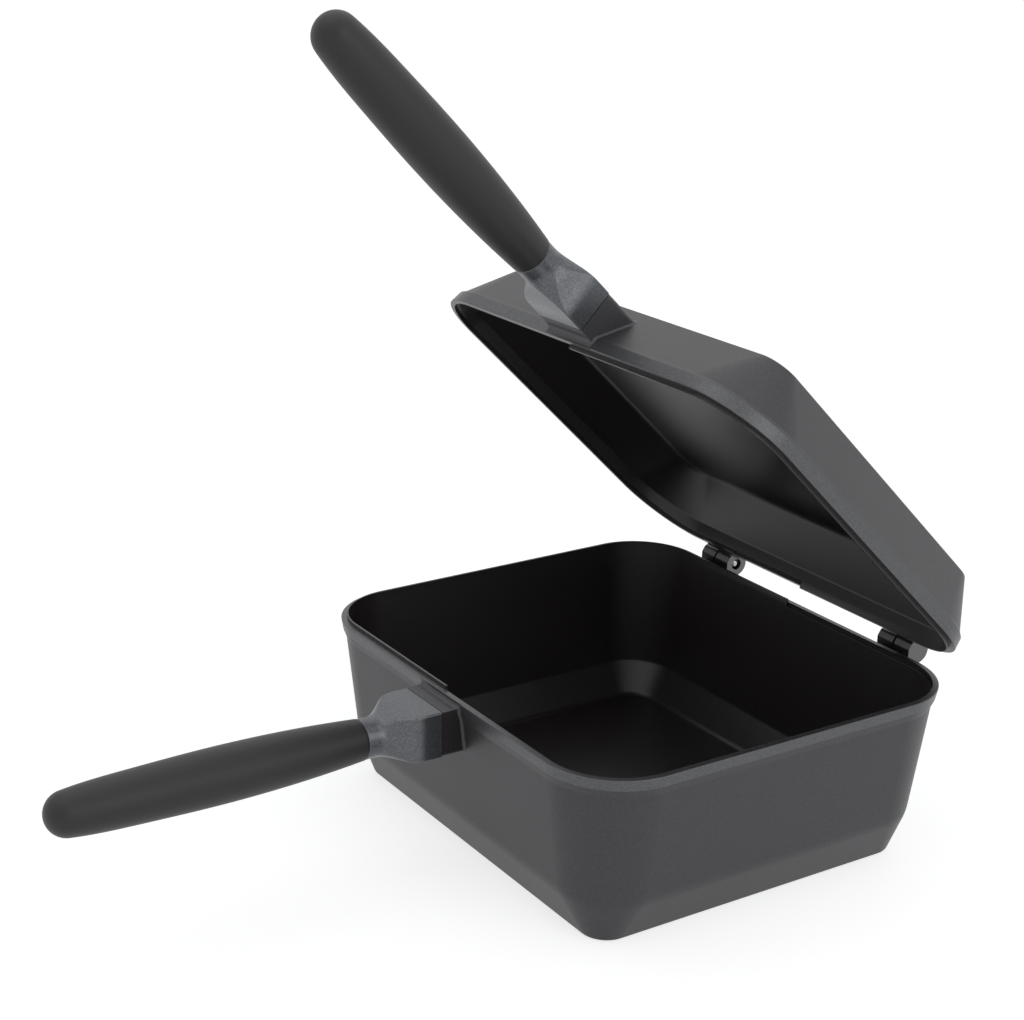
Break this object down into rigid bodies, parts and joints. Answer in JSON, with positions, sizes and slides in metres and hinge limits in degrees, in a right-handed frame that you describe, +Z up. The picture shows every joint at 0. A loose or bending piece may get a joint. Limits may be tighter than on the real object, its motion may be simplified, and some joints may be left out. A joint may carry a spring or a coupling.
{
  "type": "double sided flip pan",
  "caption": "Hinged double pan with a deep base and a shallow lid of cast aluminium, each with a round soft grip, for turning food over inside it.",
  "frame": {"origin": "centre of the base's flat bottom, at table level", "axes": "X along the hinge, -Y towards the handles, +Y towards the hinge, +Z up"},
  "size_m": [0.288, 0.502, 0.4635],
  "materials": {
    "pan_coating": "dark grey non-stick coating with a fine sparkle",
    "ferrule_metal": "grey sparkle coating, satin",
    "soft_grip": "soft-touch matte black",
    "grip_core": "moulded phenolic",
    "steel": "zinc plated",
    "pin_steel": "stainless, domed end",
    "insert_brass": "turned"
  },
  "bodies": {
    "base": {"base_pan": "pan_coating", "base_ferrule": "ferrule_metal", "base_ferrule_pin": "steel", "base_stud": "steel", "base_spring_washer": "steel", "base_ferrule_nut": "steel", "base_grip_insert": "insert_brass", "base_grip_core": "grip_core", "base_grip": "soft_grip", "left_hinge_pin": "pin_steel", "right_hinge_pin": "pin_steel"},
    "lid": {"lid_pan": "pan_coating", "lid_ferrule": "ferrule_metal", "lid_ferrule_pin": "steel", "lid_stud": "steel", "lid_spring_washer": "steel", "lid_ferrule_nut": "steel", "lid_grip_insert": "insert_brass", "lid_grip_core": "grip_core", "lid_grip": "soft_grip"}
  },
  "joints": [
    {"name": "lid_hinge", "type": "hinge", "parent": "base", "child": "lid", "pos_m": [0, 0.13925, 0.1022], "axis": [-1, 0, 0], "range_deg": [-44.2, 60.8]}
  ]
}
